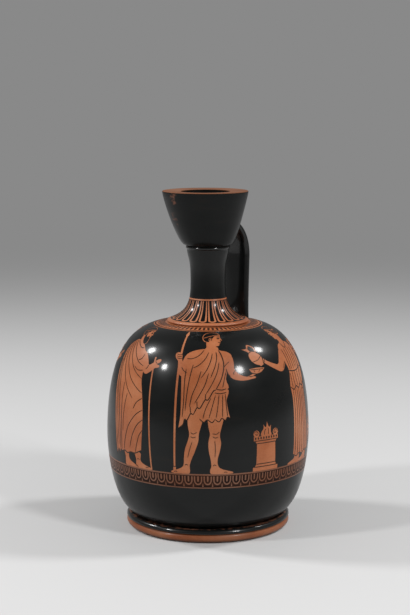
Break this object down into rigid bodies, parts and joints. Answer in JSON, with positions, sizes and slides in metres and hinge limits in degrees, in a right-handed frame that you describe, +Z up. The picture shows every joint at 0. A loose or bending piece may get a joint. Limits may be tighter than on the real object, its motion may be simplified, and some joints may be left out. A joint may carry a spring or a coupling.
{
  "type": "squat oil flask",
  "caption": "Squat, barrel-bodied clay oil flask on a moulded ring foot, with a narrow waisted neck, a bell-shaped mouth and an upright strap handle, in black gloss and reserved orange clay.",
  "frame": {"origin": "on the flask's axis, at the level the foot stands on", "axes": "+Z up along the axis, +Y towards the handle, so the side opposite the handle faces -Y"},
  "size_m": [0.1208, 0.1208, 0.2],
  "materials": {
    "black_gloss": "glossy black slip, fired",
    "reserved_clay": "satin orange clay, left bare"
  },
  "bodies": {
    "root": {"foot": "reserved_clay", "body": "black_gloss", "neck": "black_gloss", "mouth": "black_gloss", "handle": "black_gloss"}
  },
  "joints": []
}
